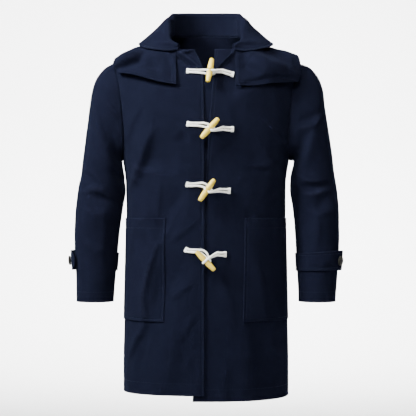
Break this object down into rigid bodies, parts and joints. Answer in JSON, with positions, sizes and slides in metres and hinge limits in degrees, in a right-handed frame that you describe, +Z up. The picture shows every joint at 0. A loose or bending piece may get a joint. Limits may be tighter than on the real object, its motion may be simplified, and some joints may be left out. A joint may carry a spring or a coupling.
{
  "type": "duffle coat, filled out as worn",
  "caption": "Navy wool-blend duffle coat with its hood laid down, toggles on cord loops, patch pockets and cuff straps.",
  "frame": {"origin": "the middle of the neck opening, level with the seam at the back of the neck, where the wearer holds the coat up", "axes": "+Z up along the coat's length, -Y the way the coat's front faces, +X to the right as the front is looked at (the wearer's left)"},
  "size_m": [0.6797, 0.3267, 0.9613],
  "materials": {
    "cloth": "matt brushed wool cloth, navy",
    "cord": "matt braided cord, off-white",
    "toggle": "satin, pale horn-coloured",
    "button": "satin, nearly black"
  },
  "bodies": {
    "root": {"front_right": "cloth", "front_left": "cloth", "back": "cloth", "front_underlap": "cloth", "pocket_right": "cloth", "pocket_left": "cloth", "sleeve_right": "cloth", "sleeve_left": "cloth", "cuff_strap_right": "cloth", "cuff_strap_left": "cloth", "hood_rim": "cloth", "hood_side_right": "cloth", "hood_side_left": "cloth", "hood_middle": "cloth", "cuff_button_right": "button", "cuff_button_left": "button", "toggle_1": "toggle", "loop_cord_1": "cord", "stem_cord_1": "cord", "toggle_2": "toggle", "loop_cord_2": "cord", "stem_cord_2": "cord", "toggle_3": "toggle", "loop_cord_3": "cord", "stem_cord_3": "cord", "toggle_4": "toggle", "loop_cord_4": "cord", "stem_cord_4": "cord"}
  },
  "joints": []
}
